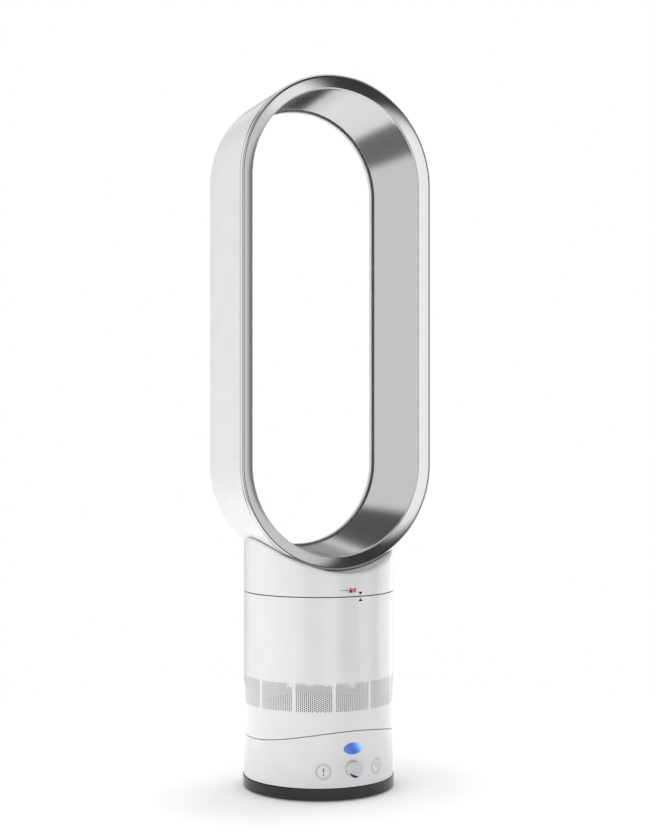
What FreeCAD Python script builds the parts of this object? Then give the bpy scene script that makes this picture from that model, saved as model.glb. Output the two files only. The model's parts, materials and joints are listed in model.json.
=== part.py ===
"""Bladeless tower fan on a swinging round foot.

Units are millimetres.  +Z is up, the front faces -Y and +X is to the right of
someone who faces the front.  The origin is the centre of the foot on the floor.
The tower turns about Z on its foot, rocks about X on curved rails, and the
loop with its neck twists off the tower.
"""
import FreeCAD, Part

import math
import os

import Sketcher

DOC = FreeCAD.newDocument("TowerFan")
NODES = []

SIZES = {
    # whole fan
    "body_rad": 100.0, "wall": 2.7, "half_gap": 0.65, "slip_fit": 0.1, "beyond": 110.0,
    # foot
    "foot_rad": 101.1, "foot_low": 1.5, "foot_floor": 3.0, "foot_top": 16.9,
    "pad_rad": 7.0, "pad_ring": 84.0, "hub_bore": 8.0, "post_rad": 12.0, "hub_flange": 26.0,
    "hub_low": 6.0, "flange_thick": 2.0, "post_top": 24.0,
    "hub_screw": 1.7, "hub_screw_head": 3.4, "hub_screw_ring": 20.0, "ballast_in": 46.0, "ballast_step": 75.0,
    "ballast_out": 96.5, "ballast_top": 15.5, "race_in": 54.0, "race_out": 72.0, "race_low": 7.5,
    "race_thick": 1.8, "ball_rad": 2.6, "ball_ring": 63.0, "ball_lift": 0.15, "balls": 18.0,
    "gland_rad": 7.0, "gland_hole": 3.6, "gland_high": 9.2, "gland_out": 104.3,
    # swing drive
    "gear_low": 8.0, "gear_thick": 4.0, "gear_teeth": 60.0, "gear_root": 28.7, "gear_tip": 30.7,
    "pinion_teeth": 12.0, "pinion_root": 4.7, "pinion_tip": 6.7, "pinion_ring": 36.0,
    "tooth_sink": 0.4, "tooth_foot_half": 0.92, "tooth_tip_half": 0.34,
    "pinion_shaft": 3.0, "motor_rad": 18.0, "motor_tall": 15.4, "motor_screw": 1.2,
    "motor_screw_head": 2.4, "motor_screw_out": 22.0, "ear_half": 25.0, "ear_thick": 2.0,
    # turntable and control section
    "table_low": 17.6, "table_top": 20.6, "run_gap": 0.05, "clip_rad": 17.0, "clip_thick": 1.5,
    "dial_rad": 10.3, "dial_high": 40.5, "dial_out": 108.0, "cap_rad": 7.6,
    "button_rad": 10.0, "hole_gap": 0.4, "power_turn": -22.9, "power_high": 38.9,
    "swing_turn": 22.1, "swing_high": 39.6, "lens_high": 66.9, "lens_half": 13.5, "lens_rise": 7.5,
    "board_front": 82.0, "board_thick": 1.6, "board_half": 48.0, "board_low": 27.0, "board_top": 80.0,
    "control_blank_top": 95.0, "cap_thick": 4.5, "stem_rad": 3.0, "dial_back": 98.0, "recess_deep": 1.2,
    # rocking rails, all arcs about one line across the fan
    "tilt_high": 383.9, "tilt_rad": 311.3, "rail_top": 314.0, "rail_low": 318.0, "rail_mid": 55.0,
    "rail_half": 9.0, "web_half": 3.0, "rail_sweep": 12.0, "runner_sweep": 6.0, "rail_gap": 0.4,
    "hook_low": 321.4, "hook_half": 14.0, "cradle_half": 62.0, "cradle_foot": 11.0,
    "cradle_screw": 1.5, "cradle_screw_head": 3.0, "cradle_screw_out": 48.0, "cradle_screw_along": 45.0,
    "cradle_foot_thick": 3.0,
    # tower
    "neck_seam": 261.4, "grille_low": 114.2, "grille_top": 151.5, "windows": 12.0,
    "window_half": 23.7, "dish_thick": 2.9, "grille_back": 4.4, "slot_half": 1.5, "tower_blank_low": 60.0,
    "driver_low": 82.0, "driver_post_out": 38.0, "driver_post_along": 30.0, "runner_screw_out": 55.0,
    "runner_screw_along": 12.0,
    "foam_in": 25.0, "foam_out": 94.0, "foam_low": 96.0, "foam_top": 106.0,
    # fan unit
    "nut_tall": 4.0, "shaft_rad": 4.0, "shaft_low": 160.0, "shaft_top": 243.0, "bearing_rad": 11.0,
    "bearing_thick": 6.0, "bearing_low": 201.0, "bearing_high": 237.0, "blades": 9.0,
    "blade_thick": 1.8, "blade_lean": 42.0, "bucket_rad": 56.0, "vanes": 11.0, "vane_lean": 18.0,
    "duct_in": 80.0, "duct_out": 82.2,
    # bayonet
    "collar_in": 85.0, "collar_out": 90.0, "collar_low": 248.0, "lug_rad": 94.0, "lug_low": 250.0,
    "lug_top": 255.4, "lip_in": 90.6, "lip_low": 256.0, "ring_in": 94.5, "ring_low": 240.0,
    "ring_top": 260.5, "lug_sweep": 14.0, "lip_sweep": 16.0, "lugs": 6.0,
    "seat_low": 262.2, "seat_top": 265.0, "collar_screw": 3.0, "collar_screw_ring": 92.5,
    # loop: two half rounds joined by straight sides
    "loop_low": 430.9, "loop_side": 369.4, "rim_half": 139.5, "rim_front": 61.2, "rear_half": 132.9,
    "rear_back": 57.0, "mouth_half": 121.0, "throat_half": 114.0, "lip_half": 111.65,
    "port_half": 50.0, "port_front": 44.0, "port_back": 46.0, "saddle_gap": 0.5,
}


# ---------------------------------------------------------------- sheet and expressions
def fill_sheet():
    """Write every driving dimension to the spreadsheet, one named cell each."""
    sheet = DOC.addObject("Spreadsheet::Sheet", "Sizes")
    for row, (alias, number) in enumerate(SIZES.items(), start=1):
        sheet.set("A%d" % row, alias)
        sheet.set("B%d" % row, str(number))
        sheet.setAlias("B%d" % row, alias)
    DOC.recompute()
    return sheet


SHEET = fill_sheet()


def bound(text):
    """Turn 'body_rad - wall' into an expression on the spreadsheet."""
    words = ["Sizes." + word if word in SIZES else word for word in text.split()]
    return " ".join(words)


def count(alias):
    """Whole number held in a cell."""
    return int(value(alias))


def value(text):
    """Number that a sum such as 'body_rad - wall + 0.5' stands for."""
    total = 0.0
    sign = 1.0
    for word in text.split():
        if word in ("+", "-"):
            sign = 1.0 if word == "+" else -1.0
            continue
        number = SHEET.get(word) if word in SIZES else float(word)
        total += sign * float(number)
        sign = 1.0
    return total


def bind(thing, **sums):
    """Bind properties of an object to sums of spreadsheet cells."""
    for name, text in sums.items():
        thing.setExpression(name, bound(text))
    return thing


def put(thing, across="0", along="0", high="0"):
    """Bind an object's position."""
    thing.setExpression(".Placement.Base.x", bound(across))
    thing.setExpression(".Placement.Base.y", bound(along))
    thing.setExpression(".Placement.Base.z", bound(high))
    return thing


def node(thing, label):
    """Name a finished sub-part and mark it for export."""
    thing.Label = label
    NODES.append(thing)
    return thing


# ---------------------------------------------------------------- Part primitives
def part(kind, **properties):
    """New Part object with the given properties."""
    thing = DOC.addObject("Part::" + kind, "Piece")
    for name, content in properties.items():
        setattr(thing, name, content)
    return thing


def cut(base, tool):
    return part("Cut", Base=base, Tool=tool, Refine=True)


def common(base, tool):
    return part("Common", Base=base, Tool=tool, Refine=True)


def fuse(*things):
    return part("MultiFuse", Shapes=list(things), Refine=True)


def group(things):
    """Several separate solids under one name."""
    return part("Compound", Links=list(things))


def disc(radius, low, top):
    """Upright cylinder about the fan's axis."""
    thing = part("Cylinder")
    bind(thing, Radius=radius, Height="( %s ) - ( %s )" % (top, low))
    return put(thing, high=low)


def tube(outer, inner, low, top):
    return cut(disc(outer, low, top), disc(inner, low, top))


def post(radius, across, along, low, top):
    """Upright cylinder anywhere on the plan."""
    thing = part("Cylinder")
    bind(thing, Radius=radius, Height="( %s ) - ( %s )" % (top, low))
    return put(thing, across, along, low)


def block(left, right, front, back, low, top):
    """Box between six planes."""
    thing = part("Box")
    bind(thing, Length="( %s ) - ( %s )" % (right, left))
    bind(thing, Width="( %s ) - ( %s )" % (back, front))
    bind(thing, Height="( %s ) - ( %s )" % (top, low))
    return put(thing, left, front, low)


def screwed(shanks, heads):
    """Screws made of matching shanks and heads."""
    return group([fuse(shank, head) for shank, head in zip(shanks, heads)])


def ring_of(total, first, radius, low, top, ring):
    """Equal posts spaced evenly round the axis, the first at an angle from the front."""
    posts = []
    for number in range(total):
        turn = "( %s + %s ) * 1 deg" % (first, number * 360.0 / total)
        across = "( %s ) * sin( %s )" % (ring, turn)
        along = "0 - ( %s ) * cos( %s )" % (ring, turn)
        posts.append(post(radius, across, along, low, top))
    return posts


def spoke(turn, radius, start, end, high):
    """Cylinder that points outwards at an angle from the front."""
    thing = part("Cylinder")
    bind(thing, Radius=radius, Height="( %s ) - ( %s )" % (end, start))
    level = FreeCAD.Rotation(FreeCAD.Vector(1, 0, 0), 90)
    swung = FreeCAD.Rotation(FreeCAD.Vector(0, 0, 1), value(turn))
    thing.Placement.Rotation = swung.multiply(level)
    angle = "( %s ) * 1 deg" % turn
    return put(thing, "( %s ) * sin( %s )" % (start, angle), "0 - ( %s ) * cos( %s )" % (start, angle), high)


def spoke_block(turn, half, start, end, low, top, lean=0.0):
    """Box that points outwards, leaning about its own length where asked."""
    thing = part("Box")
    bind(thing, Length="2 * ( %s )" % half, Width="( %s ) - ( %s )" % (end, start))
    bind(thing, Height="( %s ) - ( %s )" % (top, low))
    middle = (value(low) + value(top)) / 2
    corner = FreeCAD.Vector(-value(half), -value(end), value(low) - middle)
    tilted = FreeCAD.Placement(FreeCAD.Vector(0, 0, middle), FreeCAD.Rotation(FreeCAD.Vector(0, 1, 0), lean))
    swung = FreeCAD.Placement(FreeCAD.Vector(), FreeCAD.Rotation(FreeCAD.Vector(0, 0, 1), turn))
    thing.Placement = swung.multiply(tilted).multiply(FreeCAD.Placement(corner, FreeCAD.Rotation()))
    return thing


def rocker(radius, left="0 - beyond", right="beyond", sweep=180.0):
    """Slice of a drum about the rocking line, hanging evenly below that line."""
    thing = part("Cylinder")
    bind(thing, Radius=radius, Height="( %s ) - ( %s )" % (right, left))
    thing.Angle = 2 * sweep
    across = FreeCAD.Rotation(FreeCAD.Vector(0, 1, 0), 90)
    back = FreeCAD.Rotation(FreeCAD.Vector(1, 0, 0), -sweep)
    thing.Placement.Rotation = back.multiply(across)
    return put(thing, left, "0", "tilt_high")


def rail(inner, outer, left, right, sweep):
    """Curved bar between two radii about the rocking line."""
    return cut(rocker(outer, left, right, sweep), rocker(inner, left, right))


# ---------------------------------------------------------------- PartDesign bodies
def origin_plane(body, role):
    return [item for item in body.Origin.OriginFeatures if item.Role == role][0]


def profile(body, role, points, lift="0"):
    """Closed outline whose corners are bound to sums of spreadsheet cells."""
    sketch = body.newObject("Sketcher::SketchObject", "Profile")
    sketch.AttachmentSupport = [(origin_plane(body, role), "")]
    sketch.MapMode = "FlatFace"
    sketch.setExpression(".AttachmentOffset.Base.z", bound(lift))
    places = [FreeCAD.Vector(value(across), value(up), 0) for across, up in points]
    for number, place in enumerate(places):
        sketch.addGeometry(Part.LineSegment(place, places[(number + 1) % len(places)]), False)
    for number in range(len(places)):
        sketch.addConstraint(Sketcher.Constraint("Coincident", number, 2, (number + 1) % len(places), 1))
    for number, (across, up) in enumerate(points):
        bind_corner(sketch, number, "DistanceX", across)
        bind_corner(sketch, number, "DistanceY", up)
    return sketch


def bind_corner(sketch, number, kind, text):
    """Hold one coordinate of a corner, on an axis of the sketch when it is zero."""
    if value(text) == 0:
        axis = -2 if kind == "DistanceX" else -1
        sketch.addConstraint(Sketcher.Constraint("PointOnObject", number, 1, axis))
        return
    index = sketch.addConstraint(Sketcher.Constraint(kind, -1, 1, number, 1, value(text)))
    sketch.setExpression("Constraints[%d]" % index, bound(text))


def spin(body, sketch, angle=360.0, backwards=False):
    """Revolve an outline about its own upright axis."""
    feature = body.newObject("PartDesign::Revolution", "Spin")
    feature.Profile = sketch
    feature.ReferenceAxis = (sketch, ["V_Axis"])
    feature.Angle = angle
    feature.Reversed = backwards
    DOC.recompute()
    return feature


def pad(body, sketch, length):
    feature = body.newObject("PartDesign::Pad", "Pad")
    feature.Profile = sketch
    bind(feature, Length=length)
    DOC.recompute()
    return feature


def turned(points):
    """Body turned about the fan's axis from (radius, height) corners."""
    body = DOC.addObject("PartDesign::Body", "Turned")
    spin(body, profile(body, "XZ_Plane", points))
    return body


def loop_ring(points):
    """Body whose (half width, depth) outline runs round the loop: two half rounds and two sides."""
    body = DOC.addObject("PartDesign::Body", "Loop")
    low = profile(body, "XY_Plane", points, "loop_low")
    spin(body, low, 180.0)
    side = pad(body, low, "loop_side")
    other = body.newObject("PartDesign::Mirrored", "OtherSide")
    other.Originals = [side]
    other.MirrorPlane = (origin_plane(body, "YZ_Plane"), [""])
    body.Tip = other
    DOC.recompute()
    high = profile(body, "XY_Plane", points, "loop_low + loop_side")
    spin(body, high, 180.0, backwards=True)
    return body


def toothed(root, tip, bore, teeth):
    """Spur gear: a disc with one tooth padded and repeated round it."""
    body = DOC.addObject("PartDesign::Body", "Gear")
    top = "gear_low + gear_thick"
    blank = profile(body, "XZ_Plane", [(bore, "gear_low"), (root, "gear_low"), (root, top), (bore, top)])
    spin(body, blank)
    sunk = root + " - tooth_sink"
    tooth = profile(body, "XY_Plane", [(sunk, "- tooth_foot_half"), (tip, "- tooth_tip_half"),
                                       (tip, "tooth_tip_half"), (sunk, "tooth_foot_half")], "gear_low")
    single = pad(body, tooth, "gear_thick")
    pattern = body.newObject("PartDesign::PolarPattern", "Teeth")
    pattern.Originals = [single]
    pattern.Axis = (blank, ["V_Axis"])
    pattern.Angle = 360
    bind(pattern, Occurrences=teeth)
    body.Tip = pattern
    DOC.recompute()
    return body


# ---------------------------------------------------------------- foot
def make_foot():
    """Black ring with its floor, pads, ballast, hub, fixed gear and lower race."""
    dish = turned([
        ("14", "foot_floor"), ("98", "foot_floor"), ("98", "foot_low"), ("foot_rad - 1", "foot_low"),
        ("foot_rad", "foot_low + 1"), ("foot_rad", "foot_top - 0.6"), ("foot_rad - 0.6", "foot_top"),
        ("97.5", "foot_top"), ("97.5", "hub_low"), ("14", "hub_low")])
    shanks = hub_screw_posts("hub_screw", "foot_floor", "hub_low + flange_thick")
    inlet = spoke("180", "gland_rad", "90", "foot_rad + 2", "gland_high")
    node(cut(dish, group(shanks + [inlet])), "foot_ring")
    node(group(ring_of(6, "30", "pad_rad", "0", "foot_floor", "pad_ring")), "rubber_feet")
    make_hub()
    make_ballast()
    make_gland()
    node(tube("race_out", "race_in", "race_low", "race_low + race_thick"), "lower_race")
    node(toothed("gear_root", "gear_tip", "post_rad", "gear_teeth"), "swing_gear")


def hub_screw_posts(radius, low, top):
    return ring_of(3, "0", radius, low, top, "hub_screw_ring")


def make_hub():
    """Hollow steel post that the turntable runs on, its clip and its screws."""
    flange_top = "hub_low + flange_thick"
    blank = turned([
        ("hub_bore", "hub_low"), ("hub_flange", "hub_low"), ("hub_flange", flange_top),
        ("post_rad", flange_top), ("post_rad", "post_top"), ("hub_bore", "post_top")])
    node(cut(blank, group(hub_screw_posts("hub_screw", "foot_floor", flange_top))), "foot_hub")
    screws = screwed(hub_screw_posts("hub_screw", "foot_floor", flange_top),
                     hub_screw_posts("hub_screw_head", "foot_low + 0.2", "foot_floor"))
    node(screws, "foot_screws")
    clip_low = "table_top + 0.3"
    node(tube("clip_rad", "post_rad", clip_low, clip_low + " + clip_thick"), "hub_clip")


def make_ballast():
    """Stepped steel ring that keeps the tower from tipping, notched for the cord inlet."""
    blank = turned([
        ("ballast_in", "hub_low"), ("ballast_out", "hub_low"), ("ballast_out", "ballast_top"),
        ("ballast_step", "ballast_top"), ("ballast_step", "race_low"), ("ballast_in", "race_low")])
    notch = block("- 9", "9", "ballast_step + 1", "ballast_out + 1", "hub_low - 1", "ballast_top + 1")
    node(cut(blank, notch), "ballast_ring")


def make_gland():
    """Round inlet for the mains cord, at the back of the foot."""
    plug = spoke("180", "gland_rad - 0.1", "90", "gland_out", "gland_high")
    hole = spoke("180", "gland_hole", "89", "gland_out + 1", "gland_high")
    above_floor = block("- 10", "10", "80", "110", "hub_low", "foot_top")
    node(common(cut(plug, hole), above_floor), "cable_gland")


def make_ball_bearing():
    """Caged balls that carry the turntable."""
    middle = "race_low + race_thick + ball_lift + ball_rad"
    holes = ring_of(count("balls"), "0", "ball_rad + 0.25", middle + " - 1", middle + " + 1", "ball_ring")
    cage = tube("race_out - 2", "race_in + 2", middle + " - 0.7", middle + " + 0.7")
    node(cut(cage, group(holes)), "ball_cage")
    balls = []
    for number in range(count("balls")):
        turn = "%s * 1 deg" % (number * 360.0 / count("balls"))
        ball = bind(part("Sphere"), Radius="ball_rad")
        balls.append(put(ball, "ball_ring * sin( %s )" % turn, "0 - ball_ring * cos( %s )" % turn, middle))
    node(group(balls), "bearing_balls")


# ---------------------------------------------------------------- control section
def make_turntable():
    """Plate that swings on the hub, with its race, drive motor and pinion."""
    plate = tube("body_rad - wall - slip_fit", "post_rad + run_gap", "table_low", "table_top")
    openings = [post("pinion_shaft + 0.5", "0", "pinion_ring", "table_low", "table_top")]
    openings += cradle_posts("cradle_screw", "table_low", "table_top")
    openings += motor_posts("motor_screw", "table_low", "table_top")
    node(cut(plate, group(openings)), "turntable_plate")
    node(tube("race_out", "race_in", "table_low - race_thick - 1", "table_low"), "upper_race")
    make_swing_motor()
    pinion = toothed("pinion_root", "pinion_tip", "1", "pinion_teeth")
    half_pitch = 180.0 / count("pinion_teeth")
    pinion.Placement.Rotation = FreeCAD.Rotation(FreeCAD.Vector(0, 0, 1), half_pitch)
    put(pinion, along="pinion_ring")
    shaft = post("pinion_shaft", "0", "pinion_ring", "gear_low", "table_top + 8")
    node(fuse(pinion, shaft), "swing_pinion")


def make_swing_motor():
    """Geared motor can with two screw ears, and its screws."""
    ear_top = "table_top + ear_thick"
    can = post("motor_rad", "0", "pinion_ring", "table_top", "table_top + motor_tall")
    ears = block("0 - ear_half", "ear_half", "pinion_ring - 5", "pinion_ring + 5", "table_top", ear_top)
    well = post("pinion_shaft + 0.4", "0", "pinion_ring", "table_top", "table_top + 9")
    holes = motor_posts("motor_screw", "table_top", ear_top)
    node(cut(fuse(can, ears), group([well] + holes)), "swing_motor")
    node(screwed(motor_posts("motor_screw", "table_low", ear_top),
                 motor_posts("motor_screw_head", ear_top, ear_top + " + 1.6")), "motor_screws")


def four_posts(radius, across, along, low, top):
    """One post in each corner of a rectangle about the axis."""
    return [post(radius, left, front, low, top)
            for left in ("0 - " + across, across) for front in ("0 - " + along, along)]


def cradle_posts(radius, low, top):
    return four_posts(radius, "cradle_screw_out", "cradle_screw_along", low, top)


def motor_posts(radius, low, top):
    return [post(radius, across, "pinion_ring", low, top)
            for across in ("0 - motor_screw_out", "motor_screw_out")]


def control_holes(gap):
    """Round holes for the dial and both buttons."""
    start = "body_rad - wall - 4"
    end = "body_rad + 4"
    return [spoke("0", "dial_rad + " + gap, start, end, "dial_high"),
            spoke("power_turn", "button_rad + " + gap, start, end, "power_high"),
            spoke("swing_turn", "button_rad + " + gap, start, end, "swing_high")]


def lens_bar(gap):
    """Oval bar through the front wall, where the display shows."""
    outline = bind(part("Ellipse"), MajorRadius="lens_half + " + gap, MinorRadius="lens_rise + " + gap)
    outline.Placement.Rotation = FreeCAD.Rotation(FreeCAD.Vector(1, 0, 0), 90)
    put(outline, "0", "0 - ( body_rad - wall - 6 )", "lens_high")
    bar = part("Extrusion", Base=outline, Dir=FreeCAD.Vector(0, -1, 0), Solid=True)
    bar.DirMode = "Custom"
    bind(bar, LengthFwd="wall + 9.3")
    return bar


def make_control_shell():
    """Lower white casing with a saddle-curved top edge."""
    wall = tube("body_rad", "body_rad - wall", "table_low", "control_blank_top")
    above = rocker("tilt_rad + half_gap")
    openings = control_holes("hole_gap") + [lens_bar("0.15")]
    node(cut(cut(wall, above), group(openings)), "control_shell")
    skin = tube("body_rad + 0.05", "body_rad - wall", "table_low", "control_blank_top")
    node(common(lens_bar("0"), skin), "display_lens")


def make_controls():
    """Dial, push buttons and the board behind them."""
    front = "0 - ( board_front )"
    back = "0 - ( board_front - board_thick )"
    node(block("0 - board_half", "board_half", front, back, "board_low", "board_top"), "control_board")
    node(block("- 15", "15", "- 95.4", "- 91.4", "lens_high - 8", "lens_high + 8"), "display_board")
    node(block("- 2", "2", "- 91.4", front, "lens_high - 4", "lens_high + 4"), "display_connector")
    encoder = spoke("0", "8", "board_front", "board_front + 8.5", "dial_high")
    node(cut(encoder, spoke("0", "3.3", "board_front", "board_front + 9", "dial_high")), "dial_encoder")
    pads = [spoke(turn, "5", "board_front", "90.3", high)
            for turn, high in (("power_turn", "power_high"), ("swing_turn", "swing_high"))]
    ahead = block("- 60", "60", "0 - body_rad", front, "20", "60")
    node(common(group(pads), ahead), "key_pads")
    make_push_button("power_button", "power_turn", "power_high")
    make_push_button("swing_button", "swing_turn", "swing_high")
    make_dial()


def make_push_button(label, turn, high):
    """Round cap that follows the casing's curve, on a stem that presses the board."""
    skin = tube("body_rad", "body_rad - cap_thick", "25", "55")
    cap = common(spoke(turn, "button_rad", "90", "body_rad + 2", high), skin)
    stem = spoke(turn, "stem_rad", "91.7", "body_rad - 3", high)
    node(fuse(cap, stem), label)


def make_dial():
    """Raised knob with a shallow recess, on its shaft, and the disc that fills the recess."""
    recess_floor = "dial_out - recess_deep"
    knob = spoke("0", "dial_rad", "dial_back", "dial_out", "dial_high")
    shaft = spoke("0", "stem_rad", "board_front + 1", "dial_back", "dial_high")
    recess = spoke("0", "cap_rad", recess_floor, "dial_out + 1", "dial_high")
    node(cut(fuse(knob, shaft), recess), "dial_knob")
    node(spoke("0", "cap_rad", recess_floor, "dial_out - 0.4", "dial_high"), "dial_insert")


def make_cradle():
    """Two curved rails on the turntable, which the tower rocks along."""
    foot_top = "table_top + cradle_foot_thick"
    sides = []
    for middle in ("0 - rail_mid", "rail_mid"):
        top_bar = rail("rail_top", "rail_low", middle + " - rail_half", middle + " + rail_half",
                       value("rail_sweep"))
        web = block(middle + " - web_half", middle + " + web_half", "0 - cradle_half", "cradle_half",
                    "table_top", "75")
        web = cut(web, rocker("rail_low - 0.5"))
        flange = block(middle + " - cradle_foot", middle + " + cradle_foot", "0 - cradle_half",
                       "cradle_half", "table_top", foot_top)
        holes = cradle_posts("cradle_screw", "table_top", foot_top)
        sides.append(cut(fuse(top_bar, web, flange), group(holes)))
    node(group(sides), "tilt_cradle")
    node(screwed(cradle_posts("cradle_screw", "table_low", foot_top),
                 cradle_posts("cradle_screw_head", foot_top, foot_top + " + 2")), "cradle_screws")


# ---------------------------------------------------------------- tower
SLOT_PITCH = 5.0


def window_blocks(half):
    """Blocks through the wall, one at each window."""
    return [spoke_block(number * 360.0 / count("windows"), half, "80", "beyond", "grille_low", "grille_top")
            for number in range(count("windows"))]


def make_tower_casing():
    """White tube with a rocking lower edge, its intake grille and its dished floor."""
    edge = rocker("tilt_rad - half_gap")
    wall = common(tube("body_rad", "body_rad - wall", "tower_blank_low", "neck_seam - half_gap"), edge)
    node(cut(wall, group(window_blocks("window_half"))), "tower_shell")
    make_intake_grille()
    dish = cut(common(disc("body_rad - wall - slip_fit", "tower_blank_low", "120"), edge),
               rocker("tilt_rad - half_gap - dish_thick"))
    node(dish, "tower_floor")


def make_intake_grille():
    """One slotted panel in each window, joined by a ring behind the wall."""
    low = "grille_low + 0.15"
    top = "grille_top - 0.15"
    panels = common(tube("body_rad - 0.3", "body_rad - grille_back", low, top),
                    group(window_blocks("window_half - 0.2")))
    backing = tube("body_rad - wall - slip_fit", "body_rad - grille_back", "grille_low - 3", "grille_top + 3")
    slots = []
    for window in range(count("windows")):
        for place in (-2, -1, 0, 1, 2):
            turn = window * 360.0 / count("windows") + place * SLOT_PITCH
            slots.append(spoke_block(turn, "slot_half", "80", "beyond", "grille_low + 3", "grille_top - 3"))
    node(cut(fuse(panels, backing), group(slots)), "intake_grille")


def make_runners():
    """Hooks under the tower floor that grip the rails and slide along them."""
    hooks = []
    for middle in ("0 - rail_mid", "rail_mid"):
        left = middle + " - hook_half"
        right = middle + " + hook_half"
        sweep = value("runner_sweep")
        whole = rail("tilt_rad - half_gap", "hook_low", left, right, sweep)
        slot = rail("rail_top - rail_gap", "rail_low + rail_gap", middle + " - rail_half - rail_gap",
                    middle + " + rail_half + rail_gap", sweep + 1)
        throat = rail("rail_low", "hook_low + 1", middle + " - web_half - 1.6",
                      middle + " + web_half + 1.6", sweep + 1)
        hooks.append(cut(whole, group([slot, throat])))
    node(group(hooks), "tilt_runners")


def make_tower_floor_parts():
    """Motor driver board on its posts, screw heads and the silencing foam."""
    hollow = rocker("tilt_rad - half_gap - dish_thick")
    posts = four_posts("3", "driver_post_out", "driver_post_along", "70", "driver_low")
    node(common(group(posts), hollow), "board_posts")
    board = block("- 45", "45", "- 38", "38", "driver_low", "driver_low + board_thick")
    node(board, "driver_board")
    heads = four_posts("3", "runner_screw_out", "runner_screw_along", "70", "79.5")
    node(common(group(heads), hollow), "runner_screws")
    node(tube("foam_out", "foam_in", "foam_low", "foam_top"), "silencer_foam")


def make_fan_unit():
    """Still parts round the impeller: shroud, diffuser, motor casing, stator and bearings."""
    casing_fit = "body_rad - wall - slip_fit"
    shroud = turned([
        ("60", "156"), (casing_fit, "156"), (casing_fit, "158.2"), ("63.8", "158.2"), ("77.2", "187"),
        ("duct_out", "200"), ("duct_in", "200"), ("75", "188"), ("61.5", "160")])
    node(shroud, "impeller_shroud")
    ring = tube("duct_out", "duct_in", "200.1", "236")
    vanes = [spoke_block(number * 360.0 / count("vanes"), "1", "50", "90", "206", "230", value("vane_lean"))
             for number in range(count("vanes"))]
    channel = tube("duct_in + 0.5", "bucket_rad + slip_fit", "204", "232")
    node(fuse(ring, common(group(vanes), channel)), "diffuser")
    make_motor()
    blocks = [spoke(str(number * 120 + 60), "6", "duct_in", "body_rad", "218") for number in range(3)]
    node(common(group(blocks), tube(casing_fit, "duct_out + slip_fit", "200", "236")), "rubber_mounts")


def make_motor():
    """Still half of the fan motor: casing halves, bearings, stator and its clamp."""
    bucket = turned([
        ("bearing_rad", "200"), ("50", "200"), ("bucket_rad", "211"), ("bucket_rad", "224"),
        ("54", "224"), ("54", "212"), ("49", "202.2"), ("14", "202.2"), ("14", "208"),
        ("bearing_rad", "208")])
    node(bucket, "motor_bucket")
    cap = turned([
        ("bearing_rad", "236"), ("14", "236"), ("14", "241.8"), ("38", "241.8"), ("54", "232"),
        ("54", "224.2"), ("bucket_rad", "224.2"), ("bucket_rad", "233.2"), ("38.6", "244"),
        ("bearing_rad", "244")])
    node(cap, "motor_cap")
    bearings = [tube("bearing_rad", "shaft_rad + run_gap", low, low + " + bearing_thick")
                for low in ("bearing_low", "bearing_high")]
    node(group(bearings), "motor_bearings")
    stator = tube("32", "15.8", "211", "231")
    slots = [spoke_block(number * 40.0, "2", "18", "28", "205", "240") for number in range(9)]
    node(cut(stator, group(slots)), "motor_stator")
    spider = tube("53.9", "32.1", "216", "222")
    gaps = [spoke_block(number * 120.0, "16", "35", "51", "210", "230") for number in range(3)]
    node(cut(spider, group(gaps)), "stator_clamp")


def make_rotor():
    """Mixed-flow impeller on its motor shaft."""
    hub = turned([
        ("shaft_rad", "164"), ("16", "164"), ("30", "169"), ("47", "182"), ("60", "198"),
        ("57.2", "198"), ("44.6", "184"), ("28.6", "171.6"), ("10", "169"), ("10", "194"),
        ("shaft_rad", "194")])
    passage = turned([
        ("15.5", "164.5"), ("56", "162"), ("59.5", "164"), ("72.5", "188.4"), ("76.5", "198"),
        ("59", "197.5"), ("46", "182"), ("29", "169.5")])
    blades = [spoke_block(number * 360.0 / count("blades"), "blade_thick", "6", "90", "140", "225",
                          value("blade_lean"))
              for number in range(count("blades"))]
    node(fuse(hub, common(passage, group(blades))), "impeller")
    node(disc("shaft_rad", "shaft_low", "shaft_top"), "rotor_shaft")
    node(tube("15", "shaft_rad", "212", "230"), "rotor_magnet")
    outline = bind(part("RegularPolygon", Polygon=6), Circumradius="7.5")
    put(outline, high="shaft_low")
    nut = part("Extrusion", Base=outline, Dir=FreeCAD.Vector(0, 0, 1), Solid=True)
    nut.DirMode = "Custom"
    bind(nut, LengthFwd="nut_tall")
    node(cut(nut, disc("shaft_rad", "shaft_low", "shaft_low + nut_tall")), "shaft_nut")


def sectors(sweep, low, top, inner, outer):
    """Equal arcs round the axis, between two radii."""
    arcs = []
    for number in range(count("lugs")):
        arc = part("Cylinder", Angle=sweep)
        bind(arc, Radius=outer, Height="( %s ) - ( %s )" % (top, low))
        turn = number * 360.0 / count("lugs") - sweep / 2
        arc.Placement.Rotation = FreeCAD.Rotation(FreeCAD.Vector(0, 0, 1), turn)
        arcs.append(put(arc, high=low))
    return cut(group(arcs), disc(inner, low, top))


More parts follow.
